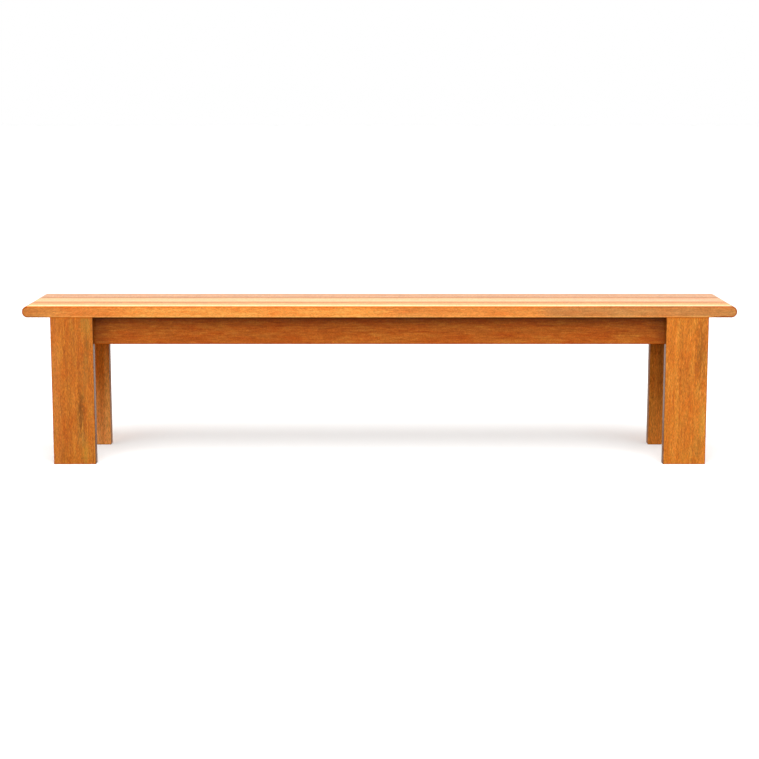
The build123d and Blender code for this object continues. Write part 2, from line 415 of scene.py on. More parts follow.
BOARDS = {
    "seat_front": dict(
        SEAT, seed=1.7, tones=("EC8A3A", "F69A44", "FFB257"), end="C07A3A",
        pith=(0.0, -0.16, 0.33), ring=4.2 * MM, contrast=1.0, tint=0.65,
        patches=(
            through(0.90, 0.0, 0.48, ALL, "CC8648", 0.95, 0.14, 0.04),
            through(0.24, 0.0, 0.27, ALL, "E68A3E", 0.85, 0.4, 0.12),
            through(-1.10, 0.0, 0.40, ALL, "C4783A", 0.95, 0.95, 0.12),
            through(-0.82, 0.0, 0.16, ALL, "E27830", 0.6, 0.8, 0.12),
            ((0.0, FRONT, 0.4555), (ALL, 0.025, 0.0042), "F07018", 0.65, 0.9, 0.15),
            ((0.0, FRONT, 0.4275), (ALL, 0.025, 0.0036), "FFB058", 0.55, 0.9, 0.15),
            ((-0.985, FRONT, 0.4270), (0.060, 0.025, 0.0030), "A85010", 0.8, 0.5, 0.05),
            ((0.985, FRONT, 0.4270), (0.060, 0.025, 0.0030), "983C00", 0.95, 0.5, 0.05),
            through(0.0, 0.4580, ALL, 0.00105, "EEA65E", 1.0, 0.15, 0.03),
            ((0.92, FRONT, 0.4562), (0.50, 0.012, 0.0036), "BC7440", 0.85, 0.6, 0.05),
            ((0.0, -0.068, 0.4578), (ALL, 0.034, 0.006), "C87838", 0.82, 0.75, 0.15),
            # Painted highlight: a pale band along the front of the top
            ((0.0, -0.1425, TOP), (ALL, 0.0155, 0.0004), "FFDE9C", 0.95, 0.4, 0.05),
        )),
    "seat_middle": dict(
        SEAT, seed=6.2, tones=("E2A468", "F2B074", "FCBE84"), end="C98C48",
        pith=(0.0, 0.05, 0.36), ring=3.6 * MM, contrast=0.9, arris="9C5A1E", arris_share=0.85,
        patches=(
            through(1.0, 0.0, 0.85, ALL, "E2986E", 0.8, 0.85, 0.12),
            ((0.0, -0.008, TOP), (ALL, 0.020, 0.010), "FFCC90", 0.6, 0.8, 0.15),
            ((0.0, 0.055, TOP), (ALL, 0.030, 0.010), "E2985A", 0.7, 0.8, 0.15),
            ((0.0, -0.055, TOP), (ALL, 0.018, 0.010), "CE8E4A", 0.7, 0.8, 0.15),
        )),
    "seat_rear": dict(
        SEAT, seed=11.4, tones=("C18555", "D09466", "DEA676"), end="B97440",
        pith=(0.0, 0.17, 0.30), ring=4.6 * MM, contrast=1.3,
        patches=(
            ((0.0, 0.058, TOP), (ALL, 0.028, 0.010), "B4763A", 0.85, 0.7, 0.15),
            ((0.0, -FRONT, TOP), (ALL, 0.045, 0.010), "CE8C50", 0.6, 0.8, 0.15),
        )),
    "leg_front_left": dict(
        FRONT_LEG, seed=3.1, tones=("B05E20", "C97024", "DC8832"), end="9A5526",
        pith=(-0.93, 0.02, 0.0), ring=5.0 * MM, contrast=1.0, tint=0.7, arris="BE5A04",
        patches=(
            # Painted shade: a dark strip on the inner face
            through(-LEG_EDGE, 0.0, 0.0015, ALL, "5E3216", 0.8, 0.2, 0.15),
            through(-0.836, 0.405, 0.022, 0.060, "C08634", 0.75),
            through(-0.833, 0.345, 0.013, 0.030, "A06824", 0.8),
            through(-0.838, 0.300, 0.012, 0.045, "B4742C", 0.8),
            through(-0.842, 0.245, 0.013, 0.050, "C67E30", 0.8),
            through(-0.848, 0.195, 0.013, 0.040, "C68432", 0.75),
            through(-0.856, 0.150, 0.015, 0.095, "84501E", 0.85),
            through(-0.852, 0.070, 0.020, 0.040, "B47A34", 0.75),
            through(-0.846, 0.030, 0.014, 0.050, "CC8A30", 0.8),
            through(-0.926, 0.20, 0.022, 0.50, "D48038", 0.7, 1.0, 0.12),
        )),
    "leg_front_right": dict(
        FRONT_LEG, seed=8.8, tones=("C66C24", "DE822A", "F09A3E"), end="A86030",
        pith=(0.80, 0.03, 0.0), ring=5.4 * MM, contrast=0.9, tint=0.75, arris="C25C04",
        patches=(
            # Painted shade: a dark strip on the inner face
            through(LEG_EDGE, 0.0, 0.0015, ALL, "5E3216", 0.8, 0.2, 0.15),
            through(0.924, 0.34, 0.036, 0.16, "BC6E26", 0.8, 1.0, 0.3),
            through(0.916, 0.32, 0.018, 0.17, "A8621E", 0.6),
            through(0.925, 0.12, 0.014, 0.080, "D29438", 0.9),
            through(0.915, 0.05, 0.020, 0.055, "C08030", 0.6),
            through(0.872, 0.265, 0.026, 0.085, "C66C22", 0.7),
        )),
    "leg_rear_left": dict(
        REAR_LEG, seed=14.9, tones=("CC661E", "E27822", "F69038"),
        pith=(-0.95, -0.03, 0.0), ring=5.0 * MM,
        patches=(
            # Painted light: the leg is lighter towards the floor, away from the shade of the seat
            through(0.0, 0.0, ALL, 0.27, "FFA85A", 0.95, 1.0, 0.12),
            through(-0.824, 0.15, 0.013, 0.24, "FFAA54", 0.9, 1.0, 0.15),
            # Painted shade: a little darker beside the front leg
            through(-0.841, 0.15, 0.012, 0.60, "BE6A28", 0.35, 1.0, 0.15),
            # Painted reflection: a paler, greyer strip on the inner face
            through(-LEG_EDGE, 0.0, 0.0015, ALL, "A87858", 0.9, 0.2, 0.15),
        )),
    "leg_rear_right": dict(
        REAR_LEG, seed=21.3, tones=("BA6622", "D47A28", "E8903A"),
        pith=(0.82, -0.02, 0.0), ring=5.4 * MM,
        patches=(
            # Painted light: the leg is lighter towards the floor
            through(0.0, 0.03, ALL, 0.24, "DC8434", 0.8, 1.0, 0.12),
            # Painted shade: darker high up, under the seat and the rail
            through(0.0, 0.37, ALL, 0.10, "8E5218", 0.85, 1.0, 0.15),
            through(0.851, 0.27, 0.020, 0.30, "9E5A1E", 0.8, 1.0, 0.15),
            # Painted reflection: a paler, greyer strip on the inner face
            through(LEG_EDGE, 0.0, 0.0015, ALL, "A87858", 0.9, 0.2, 0.15),
        )),
    "rail_front": dict(
        RAIL, grain=X, seed=5.3, pith=(0.0, -0.02, 0.30), ring=5.6 * MM,
        patches=LONG_RAIL_PAINTED_SHADE),
    "rail_rear": dict(
        RAIL, grain=X, seed=17.7, pith=(0.0, 0.05, 0.33), ring=5.2 * MM,
        patches=LONG_RAIL_PAINTED_SHADE),
    "rail_end": dict(
        RAIL, grain=Y, seed=24.6, pith=(0.0, 0.0, 0.31), ring=5.0 * MM, patches=(RAIL_PAINTED_SHADE,)),
    "bearer": dict(
        RAIL, grain=Y, seed=31.2, tones=("9E5422", "B2682C", "C27E3A"),
        pith=(0.0, 0.0, 0.28), ring=4.4 * MM, contrast=0.9, tint=0.5,
        arris="9A5016", arris_share=0.4, gloss=1.0, patches=()),
}

# Patterns of a lacquered cherry or mahogany board: real length along the grain, real width
# across it and detail. A layer reads its noise SEED_STEP further on than the one before it.
SEED_STEP = 3.0
WANDER = (220 * MM, 45 * MM, 2.0)
BROAD = (320 * MM, 34 * MM, 1.0)
STREAK = (90 * MM, 6.5 * MM, 2.0)
TINT = (70 * MM, 14 * MM, 2.0)
# Bundles of fibres and pores are about 0.1 mm wide, so they are drawn wider to show at all
FIBRE = (48 * MM, 0.8 * MM, 2.0)
PORE = (5.0 * MM, 0.32 * MM, 0.0)
# Detail, roughness and distortion of the figure, and detail of the flecks
FIGURE_NOISE, FLECK_DETAIL = (3.0, 0.62, 0.35), 1.0
# How far straight lines wander, and the patches with them
WANDER_REACH, PATCH_REACH = 9 * MM, 16 * MM
# How much the broad bands, streaks, figure, fibres and latewood count in the grain, and where
# the three tones lie in it
BROAD_WEIGHT, STREAK_WEIGHT, FIGURE_WEIGHT, FIBRE_WEIGHT = 0.6, 0.9, 1.9, 1.1
LATEWOOD_WEIGHT, LATEWOOD_POWER = 0.16, 3.0
DARK_STOP, MIDDLE_STOP, LIGHT_STOP = 0.12, 0.48, 0.9
# How far the grain shows in a patch, where its figure carries the rim fully out and in, and how
# much more blue drifts than green
PATCH_GRAIN, RIM_OUTWARDS, RIM_INWARDS, BLUE_DRIFT = 0.2, 0.25, 0.75, 1.6
# Nearly all of a noise lies between these values
NOISE_LOW, NOISE_HIGH = 0.3, 0.7
# Pores: where their noise starts and is full, how much they cover and their share of the dark
PORE_START, PORE_FULL, PORE_SHARE, PORE_TONE = 0.58, 0.68, 0.34, 0.35
# End grain: how far a surface turns to it where it starts and is full, how much it covers, and
# shares of its colour across a ring
END_START, END_FULL, END_SHARE = 0.55, 0.95, 0.85
END_RING = ((0.0, 1.0), (0.7, 0.8), (1.0, 0.5))
# From an edge, stain is full up to the first distance and gone from the second on
ARRIS_CORE, ARRIS_BAND = 1.0 * MM, 3.4 * MM
# Wood's refractive index, and that of the lacquer, matched to the photograph's weak gloss
WOOD_IOR, LACQUER_IOR = 1.5, 1.3
# Strength and height of the relief, and roughness where the figure is dull and where it shines
RELIEF, RELIEF_HEIGHT, DULL, SHINING = 0.25, 0.15 * MM, 0.5, 0.36
# Length, width and detail of the inner wood's streaks, and of its fibres and pores, drawn wider
INNER_LAYERS = ((45 * MM, 4 * MM, 2.0), (30 * MM, 0.7 * MM, 2.0), (4 * MM, 0.3 * MM, 0.0))
# Where its tones lie and their shares of its colour, and how its pores cover and darken it
INNER_TONES, INNER_PORES, INNER_PORE_TONE = ((0.34, 0.6), (0.5, 1.0), (0.66, 1.25)), 0.4, 0.5
# The polish of metal: size of its clouds, where its tones lie and their shares of the colour,
# and how far its roughness falls and rises
POLISH_SIZE, POLISH_TONES = 2.5 * MM, ((0.35, 0.86), (0.65, 1.0))
POLISH_FALL, POLISH_RISE = 0.08, 0.1


def box_arris(tree, place, low, high):
    """How near a point is to an edge of a box, 1 up to ARRIS_CORE and 0 from ARRIS_BAND on.

    The distances to the nearest face across X, Y and Z are taken. Two of them are small near
    an edge, so the middle one of the three is the distance to the edge.
    """
    middle = [(first + last) / 2 for first, last in zip(low, high)]
    half = [(last - first) / 2 for first, last in zip(low, high)]
    offset = add(tree, "VectorMath", [place, middle], operation="SUBTRACT")
    reach = add(tree, "VectorMath", [offset], operation="ABSOLUTE")
    inside = add(tree, "VectorMath", [half, reach], operation="SUBTRACT")
    parts = add(tree, "SeparateXYZ", [inside]).outputs
    least = add(tree, "Math", [parts[X], parts[Y]], operation="MINIMUM")
    most = add(tree, "Math", [parts[X], parts[Y]], operation="MAXIMUM")
    lower = add(tree, "Math", [most, parts[Z]], operation="MINIMUM")
    edge = add(tree, "Math", [least, lower], operation="MAXIMUM")
    return add(tree, "MapRange", [
        edge, ARRIS_CORE, ARRIS_BAND, 1.0, 0.0], interpolation_type="SMOOTHSTEP")


def lacquered_wood(name, board, box=None):
    """Planed hardwood under rubbed clear lacquer.

    The eye gets long rings and streaks along the grain, short wavy figure across them, small
    flecks, fine pores, darker end grain, and a darker line where the stain gathers on the
    eased edges.
    """
    finish = bpy.context.scene.bench_finish
    grain, contrast, tint = board["grain"], board["contrast"], board["tint"]
    material, tree = new_material(name)
    coords = add(tree, "TexCoord").outputs
    place = coords["Object"]

    def layer(number, vector, sizes, detail, roughness=0.5, distortion=0.0):
        """Outputs of a noise whose clouds have these sizes along X, Y and Z."""
        mapped = add(tree, "Mapping", {
            "Vector": vector, "Scale": tuple(1 / size for size in sizes)})
        return add(tree, "TexNoise", {
            "Vector": mapped, "W": board["seed"] + number * SEED_STEP, "Scale": 1.0,
            "Detail": detail, "Roughness": roughness, "Distortion": distortion},
            noise_dimensions="4D").outputs

    # Straight lines along the grain wander a little, as fibres do
    across = tuple(0.0 if axis == grain else 1.0 for axis in (X, Y, Z))
    reach = tuple(WANDER_REACH * share for share in across)
    drift = layer(0, place, stretched(grain, *WANDER[:2]), WANDER[2])["Color"]
    centred = add(tree, "VectorMath", [drift, (0.5, 0.5, 0.5)], operation="SUBTRACT")
    fibre_place = add(tree, "VectorMath", [centred, reach, place], operation="MULTIPLY_ADD")

    broad, streak, fibre, pores, gold = (
        layer(number, fibre_place, stretched(grain, *pattern[:2]), pattern[2])["Fac"]
        for number, pattern in ((1, BROAD), (2, STREAK), (4, FIBRE), (5, PORE), (6, TINT)))
    figure = layer(3, fibre_place, stretched(grain, *board["figure"]), *FIGURE_NOISE)["Fac"]

    # Growth rings are circles round the pith, cut by the face of the board
    pith = tuple(-value * share for value, share in zip(board["pith"], across))
    from_pith = add(tree, "Mapping", {"Vector": fibre_place, "Location": pith, "Scale": across})
    radius = add(tree, "VectorMath", [from_pith], operation="LENGTH")
    rings = add(tree, "Math", [radius, board["ring"]], operation="DIVIDE")
    ring_part = add(tree, "Math", [rings], operation="FRACT")
    latewood = add(tree, "Math", [ring_part, LATEWOOD_POWER], operation="POWER")

    # The layers add up to one grain value, 0.5 in the middle, which the tones are read from
    weighted = (
        (broad, BROAD_WEIGHT), (streak, STREAK_WEIGHT), (figure, FIGURE_WEIGHT),
        (fibre, FIBRE_WEIGHT))
    value = 0.5
    for source, weight in weighted:
        value = add(tree, "Math", [source, weight * contrast, value], operation="MULTIPLY_ADD")
    excess = 0.5 * sum(weight for _, weight in weighted) * contrast
    value = add(tree, "Math", [value, excess], operation="SUBTRACT")
    value = add(tree, "Math", [
        latewood, -LATEWOOD_WEIGHT * contrast, value], operation="MULTIPLY_ADD")
    dark, middle_tone, light = (linear(code) for code in board["tones"])
    tone = add(tree, "ValToRGB", [value], stops=(
        (DARK_STOP, dark), (MIDDLE_STOP, middle_tone), (LIGHT_STOP, light)))

    # The colour drifts between red and gold from place to place
    swing = (0.0, tint, BLUE_DRIFT * tint)
    turn = add(tree, "VectorMath", [
        gold, swing, tuple(1.0 - part / 2 for part in swing)], operation="MULTIPLY_ADD")
    tone = add(tree, "VectorMath", [tone, turn], operation="MULTIPLY")

    # Soft patches of another colour keep the grain, and their rims follow its figure. Most are
    # tones of the wood; the others are painted shade, painted light, a painted highlight and
    # painted reflections. On the boards that lie along X they wander in Y only, so that they stay
    # on their faces.
    patch_reach = (0.0, PATCH_REACH if grain == X else 0.0, 0.0)
    patch_place = add(tree, "VectorMath", [centred, patch_reach, place], operation="MULTIPLY_ADD")
    ragged_rim = add(tree, "MapRange", [figure, RIM_OUTWARDS, RIM_INWARDS, -1.0, 1.0])
    grained = add(tree, "MapRange", {
        "Value": value, "To Min": 1.0 - PATCH_GRAIN, "To Max": 1.0 + PATCH_GRAIN})
    for middle, half, code, strength, rim, broken in board["patches"]:
        scale = tuple(1 / size if size else 0.0 for size in half)
        shift = tuple(-centre * share for centre, share in zip(middle, scale))
        mapped = add(tree, "Mapping", {"Vector": patch_place, "Location": shift, "Scale": scale})
        distance = add(tree, "VectorMath", [mapped], operation="LENGTH")
        ragged = add(tree, "Math", [ragged_rim, broken, distance], operation="MULTIPLY_ADD")
        share = add(tree, "MapRange", [
            ragged, 1.0 - rim, 1.0, strength, 0.0], interpolation_type="SMOOTHSTEP")
        tinted = add(tree, "VectorMath", [linear(code)[:3], turn], operation="MULTIPLY")
        shade = add(tree, "VectorMath", {0: tinted, "Scale": grained}, operation="SCALE")
        tone = add(tree, "Mix", {0: share, 6: tone, 7: shade}, data_type="RGBA")

    # Flecks make the wood a little brighter and darker from one to the next
    *fleck_sizes, fleck_share = board["fleck"]
    brightness = add(tree, "MapRange", [
        layer(7, fibre_place, fleck_sizes, FLECK_DETAIL)["Fac"], NOISE_LOW, NOISE_HIGH,
        1.0 - fleck_share, 1.0 + fleck_share])
    tone = add(tree, "VectorMath", {0: tone, "Scale": brightness}, operation="SCALE")

    # Open pores are short dark dashes
    pore = add(tree, "MapRange", [pores, PORE_START, PORE_FULL, 0.0, PORE_SHARE])
    tone = add(tree, "Mix", {0: pore, 6: tone, 7: scaled(dark, PORE_TONE)}, data_type="RGBA")

    # End grain drinks more stain, and only shows where the surface faces along the grain
    facing = add(tree, "SeparateXYZ", [coords["Normal"]]).outputs[grain]
    turned = add(tree, "Math", [facing], operation="ABSOLUTE")
    end_share = add(tree, "MapRange", [
        turned, END_START, END_FULL, 0.0, END_SHARE], interpolation_type="SMOOTHSTEP")
    end = linear(board["end"])
    end_tone = add(tree, "ValToRGB", [ring_part], stops=[
        (stop, scaled(end, share)) for stop, share in END_RING])
    tone = add(tree, "Mix", {0: end_share, 6: tone, 7: end_tone}, data_type="RGBA")

    # Stain and lacquer gather on the eased edges
    if box is None:
        arris = add(tree, "Attribute", attribute_name="arris").outputs["Fac"]
    else:
        arris = box_arris(tree, place, *box)
    gathered = add(tree, "Math", [arris, board["arris_share"]], operation="MULTIPLY")
    tone = add(tree, "Mix", {0: gathered, 6: tone, 7: linear(board["arris"])}, data_type="RGBA")

    relief = add(tree, "Math", [pore, -1.0, figure], operation="MULTIPLY_ADD")
    bump = add(tree, "Bump", {"Strength": RELIEF, "Distance": RELIEF_HEIGHT, "Height": relief})
    sheen = add(tree, "MapRange", [figure, NOISE_LOW, NOISE_HIGH, DULL, SHINING])
    # The lacquer is rubbed thin on the edges
    lacquer = add(tree, "MapRange", {
        "Value": gathered, "To Min": finish.coat * board["gloss"], "To Max": 0.0})
    shader = add(tree, "BsdfPrincipled", {
        "Base Color": tone, "Roughness": sheen, "IOR": WOOD_IOR, "Specular IOR Level": 0.0,
        "Normal": bump, "Coat Weight": lacquer, "Coat Roughness": finish.coat_roughness,
        "Coat IOR": LACQUER_IOR})
    add(tree, "OutputMaterial", {"Surface": shader})
    return material


def oiled_inner_wood(name, grain):
    """Planed wood, oiled and not lacquered, for the pieces inside. The eye gets pale, dull wood
    with fine fibres and pores along its grain."""
    material, tree = new_material(name)
    place = add(tree, "TexCoord").outputs["Object"]
    layers = []
    for length, width, detail in INNER_LAYERS:
        mapped = add(tree, "Mapping", {
            "Vector": place, "Scale": tuple(1 / size for size in stretched(grain, length, width))})
        layers.append(add(tree, "TexNoise", {"Vector": mapped, "Scale": 1.0, "Detail": detail}))
    streak, fibre, pores = layers
    value = add(tree, "Math", [streak, fibre], operation="ADD")
    value = add(tree, "Math", [value, 0.5], operation="MULTIPLY")
    colour = bpy.context.scene.bench_finish.inner_wood
    tones = [(stop, scaled(colour, share)) for stop, share in INNER_TONES]
    tone = add(tree, "ValToRGB", [value], stops=tones)
    pore = add(tree, "MapRange", [pores, PORE_START, PORE_FULL, 0.0, INNER_PORES])
    pore_tone = scaled(tones[0][1], INNER_PORE_TONE)
    tone = add(tree, "Mix", {0: pore, 6: tone, 7: pore_tone}, data_type="RGBA")
    bump = add(tree, "Bump", {"Strength": 0.3, "Distance": 0.2 * MM, "Height": value})
    shader = add(tree, "BsdfPrincipled", {
        "Base Color": tone, "Roughness": 0.7, "IOR": WOOD_IOR, "Normal": bump})
    add(tree, "OutputMaterial", {"Surface": shader})
    return material


def plated_metal(name, colour, roughness):
    """Turned metal, plated or bright. The eye gets a clear sheen that varies in small clouds."""
    material, tree = new_material(name)
    place = add(tree, "TexCoord").outputs["Object"]
    cloud = add(tree, "TexNoise", {"Vector": place, "Scale": 1 / POLISH_SIZE, "Detail": 3.0})
    polish = add(tree, "MapRange", [
        cloud, NOISE_LOW, NOISE_HIGH, roughness - POLISH_FALL, roughness + POLISH_RISE])
    tone = add(tree, "ValToRGB", [cloud], stops=[
        (stop, scaled(colour, share)) for stop, share in POLISH_TONES])
    shader = add(tree, "BsdfPrincipled", {
        "Base Color": tone, "Metallic": 1.0, "Roughness": polish})
    add(tree, "OutputMaterial", {"Surface": shader})
    return material


# Pieces


class BENCH_OT_seat_boards(bpy.types.Operator):
    """Build the three seat boards with half-round ends, eased edges and grooved joints"""

    bl_idname = "bench.seat_boards"
    bl_label = "Seat boards"

    def execute(self, context):
        sizes = context.scene.bench_seat
        for place in ("front", "middle", "rear"):
            self.board(sizes, place)
        return {"FINISHED"}

    def board(self, sizes, place):
        """One board: half-round outlines in X and Z, carried from its front to its rear face.

        An outer face draws its outline in along a quarter circle. A joint face does the same
        with a small radius, then goes in to the mouth of the groove and on to its bottom.
        """
        low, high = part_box("top_board_" + place)
        tongue_low, tongue_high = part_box("joint_tongue_front")
        half_z, half_x = (high[Z] - low[Z]) / 2, (high[X] - low[X]) / 2
        centre = ((low[X] + high[X]) / 2, 0.0, (low[Z] + high[Z]) / 2)
        groove_z = (tongue_high[Z] - tongue_low[Z]) / 2 + TONGUE_SIDE_ROOM
        groove_x = tongue_high[X] + TONGUE_END_ROOM
        groove_depth = (tongue_high[Y] - tongue_low[Y]) / 2 + TONGUE_END_ROOM

        def face_rows(is_joint):
            """Depth behind the face, half sizes, corner radius and stain of its loops, and
            the share of that stain which runs along the whole board."""
            radius = sizes.joint_ease if is_joint else sizes.edge_round
            band = sizes.joint_line if is_joint else sizes.stain_band
            turn = np.linspace(0, math.pi / 2, EDGE_STRIPS + 1)
            # Two more loops on each side, between which the stain fades out
            near, far = radius + band, radius + 2 * band
            inset = np.concatenate([[far, near], radius * (1 - np.sin(turn)), [0.0, 0.0]])
            depth = np.concatenate([[0.0, 0.0], radius * (1 - np.cos(turn)), [near, far]])
            stain = np.concatenate([[0.0, 1.0], np.ones_like(turn), [1.0, 0.0]])
            along = np.full_like(stain, 1.0 if is_joint else 0.0)
            rows = np.stack([
                depth, half_z - inset, half_x - inset, half_z - inset, stain, along], 1)
            if is_joint:
                # A stopped groove: its mouth lies in the face and its bottom behind it
                corner = groove_z * GROOVE_CORNER
                mouth = [0.0, groove_z, groove_x, corner, 0.0, 0.0]
                bottom = [groove_depth, groove_z, groove_x, corner, 0.0, 0.0]
                rows = np.vstack([bottom, mouth, rows])
            return rows

        front, rear = face_rows(place != "front"), face_rows(place != "rear")
        front[:, 0] = low[Y] + front[:, 0]
        rear[:, 0] = high[Y] - rear[:, 0]
        rows = np.vstack([front, rear[::-1]])
        points = carried_loops(
            rows[:, 0], rows[:, 1], rows[:, 2], rows[:, 3], Y, centre, sizes.arc_steps)
        # Stain gathers on the outlines of the half-round ends and all along the joints
        ends = np.abs(points[..., X]) > half_x - half_z
        stain = rows[:, 4:5] * np.maximum(ends, rows[:, 5:6])
        piece = closed_mesh("seat_board_" + place, [points], stain)
        material = lacquered_wood("lacquered_seat_" + place, BOARDS["seat_" + place])
        settle(piece, material, "top_wood", "top_board_" + place)


class BENCH_OT_legs(bpy.types.Operator):
    """Build the four plank legs, each from its own board, housed for the long rails"""

    bl_idname = "bench.legs"
    bl_label = "Legs"

    HOUSING_ROOM = 0.1 * MM
    PLAIN_SIDE = 20 * MM

    def execute(self, context):
        sizes = context.scene.bench_legs
        for side, outward in (("left", -1.0), ("right", 1.0)):
            for end, inward in (("front", 1.0), ("rear", -1.0)):
                self.leg(sizes, end, side, outward, inward)
        return {"FINISHED"}

    def leg(self, sizes, end, side, outward, inward):
        """One plank: rounded outlines in X and Y, carried from the floor up to the seat.

        The first rows draw in for the chamfer round the foot. From the bottom of the rail up,
        the back is pushed forward by the depth of the housing as far out as the rail reaches,
        and the two rows at that height make the housing's sill.
        """
        node = "leg_" + end + "_" + side
        low, high = (np.array(corner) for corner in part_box(node))
        rail_low, rail_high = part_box("rail_" + end)
        middle = (low + high) / 2
        half_x, half_y = (high - low)[:2] / 2
        sill = rail_low[Z] - self.HOUSING_ROOM
        ease = sizes.foot_ease
        heights = np.array([low[Z], low[Z] + ease, sill, sill, high[Z]])
        inset = np.array([ease, 0.0, 0.0, 0.0, 0.0])
        housed = np.array([False, False, False, True, True])
        out, back = rounded_loops(
            half_x - inset, half_y - inset, sizes.edge_round - inset, sizes.arc_steps)

        # Two more points on the back, where the rail ends, and one on the inner side, where
        # the face of the housing meets it
        corner = sizes.arc_steps + 1
        rail_end = rail_high[X] + self.HOUSING_ROOM - abs(middle[X])
        rail_face = max(abs(rail_low[Y]), abs(rail_high[Y])) + self.HOUSING_ROOM
        housing_face = abs(middle[Y]) - rail_face
        more_out = [0 * heights + rail_end, 0 * heights + rail_end, out[:, 2 * corner - 1]]
        more_back = [back[:, corner - 1], back[:, corner - 1], 0 * heights + housing_face]
        before = [corner, corner, 2 * corner]
        out = np.insert(out, before, np.stack(more_out, 1), axis=1)
        back = np.insert(back, before, np.stack(more_back, 1), axis=1)
        within = out < rail_end + MERGE
        within[:, corner] = False
        back = np.where(within & housed[:, None], np.minimum(back, housing_face), back)

        points = np.empty(out.shape + (3,))
        points[..., X] = middle[X] + outward * out
        points[..., Y] = middle[Y] + inward * back
        points[..., Z] = heights[:, None]

        if outward * inward < 0:
            points = points[:, ::-1]
        piece = closed_mesh(node + "_plank", [points])
        # Stain gathers on the outer edges only: the box it follows runs on past the inner ones
        stained = np.stack([low, high])
        stained[0 if outward > 0 else 1, X] -= outward * self.PLAIN_SIDE
        material = lacquered_wood("lacquered_" + node, BOARDS[node], stained.tolist())
        settle(piece, material, "leg_wood", node)


class BENCH_OT_rails(bpy.types.Operator):
    """Finish the long rails, the end rails and the bearers"""

    bl_idname = "bench.rails"
    bl_label = "Rails and bearers"

    def execute(self, context):
        boards = {
            "rail_front": "rail_front", "rail_rear": "rail_rear",
            "rail_left": "rail_end", "rail_right": "rail_end",
            "bearer_left": "bearer", "bearer_right": "bearer",
        }
        for node, board in boards.items():
            dress([node], lacquered_wood("lacquered_" + node, BOARDS[board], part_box(node)))
        return {"FINISHED"}


class BENCH_OT_inner_wood(bpy.types.Operator):
    """Finish the tongues, corner blocks and buttons, which are oiled and not lacquered"""

    bl_idname = "bench.inner_wood"
    bl_label = "Blocks, buttons and tongues"

    def execute(self, context):
        blocks = [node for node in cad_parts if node.startswith("corner_block_")]
        dress(blocks, oiled_inner_wood("oiled_block_wood", Z))
        dress(["top_buttons"], oiled_inner_wood("oiled_button_wood", Y))
        dress(["joint_tongue_front", "joint_tongue_rear"], oiled_inner_wood("oiled_tongue_wood", Y))
        return {"FINISHED"}


class BENCH_OT_bolts(bpy.types.Operator):
    """Build the bolts that hold the long rails to the legs, and finish their brass inserts"""

    bl_idname = "bench.bolts"
    bl_label = "Bolts and inserts"

    HEAD_RADIUS, HEAD_HEIGHT = 8.0 * MM, 2.4 * MM
    SHANK_RADIUS = 3.0 * MM
    TIP = 2.0 * MM

    def execute(self, context):
        sizes, finish = context.scene.bench_fasteners, context.scene.bench_finish
        low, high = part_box("leg_bolts")
        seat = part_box("rail_rear")[0][Y]
        radius, height = turned_fastener(
            self.HEAD_RADIUS, self.HEAD_HEIGHT, self.SHANK_RADIUS, high[Y] - seat,
            sizes.bolt_pitch, self.TIP, hexagon(sizes.socket_across), sizes.socket_depth)
        bodies = []
        for away in (-1.0, 1.0):
            for x in (low[X] + self.HEAD_RADIUS, high[X] - self.HEAD_RADIUS):
                for z in (low[Z] + self.HEAD_RADIUS, high[Z] - self.HEAD_RADIUS):
                    # The shank points away from the middle of the bench, along Y
                    bodies.append(np.stack([
                        x + away * radius * np.cos(TURN), away * (seat - height),
                        z + radius * np.sin(TURN)], -1)[:, ::-1])
        piece = closed_mesh("leg_bolts_turned", bodies)
        zinc = plated_metal("zinc_plated_steel", finish.steel, roughness=0.3)
        settle(piece, zinc, "plated_steel", "leg_bolts")
        dress(["leg_inserts"], plated_metal("turned_brass", finish.brass, roughness=0.28))
        return {"FINISHED"}


class BENCH_OT_screws(bpy.types.Operator):
    """Build the screws that hold the buttons to the underside of the seat"""

    bl_idname = "bench.screws"
    bl_label = "Button screws"

    HEAD_RADIUS, HEAD_HEIGHT = 4.2 * MM, 2.6 * MM
    SHANK_RADIUS = 2.1 * MM
    TIP = 6.0 * MM
    BUTTON_SHARES = (-0.78, -0.15, 0.15, 0.78)

    def execute(self, context):
        sizes, finish = context.scene.bench_fasteners, context.scene.bench_finish
        low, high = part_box("button_screws")
        seat = low[Z] + self.HEAD_HEIGHT
        radius, height = turned_fastener(
            self.HEAD_RADIUS, self.HEAD_HEIGHT, self.SHANK_RADIUS, high[Z] - seat,
            sizes.screw_pitch, self.TIP, cross(sizes.recess_reach, sizes.recess_arm),
            sizes.recess_depth)
        leg_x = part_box("leg_front_right")[0][X]
        side_y, end_x = high[Y] - self.HEAD_RADIUS, high[X] - self.HEAD_RADIUS
        places = [(share * leg_x, y) for share in self.BUTTON_SHARES for y in (-side_y, side_y)]
        places += [(-end_x, 0.0), (end_x, 0.0)]
        # The shank points up, along Z
        bodies = [np.stack([
            x + radius * np.cos(TURN), y + radius * np.sin(TURN), seat - height], -1)
            for x, y in places]
        piece = closed_mesh("button_screws_turned", bodies)
        bright = plated_metal("bright_plated_steel", finish.steel, roughness=0.26)
        settle(piece, bright, "plated_steel", "button_screws")
        return {"FINISHED"}


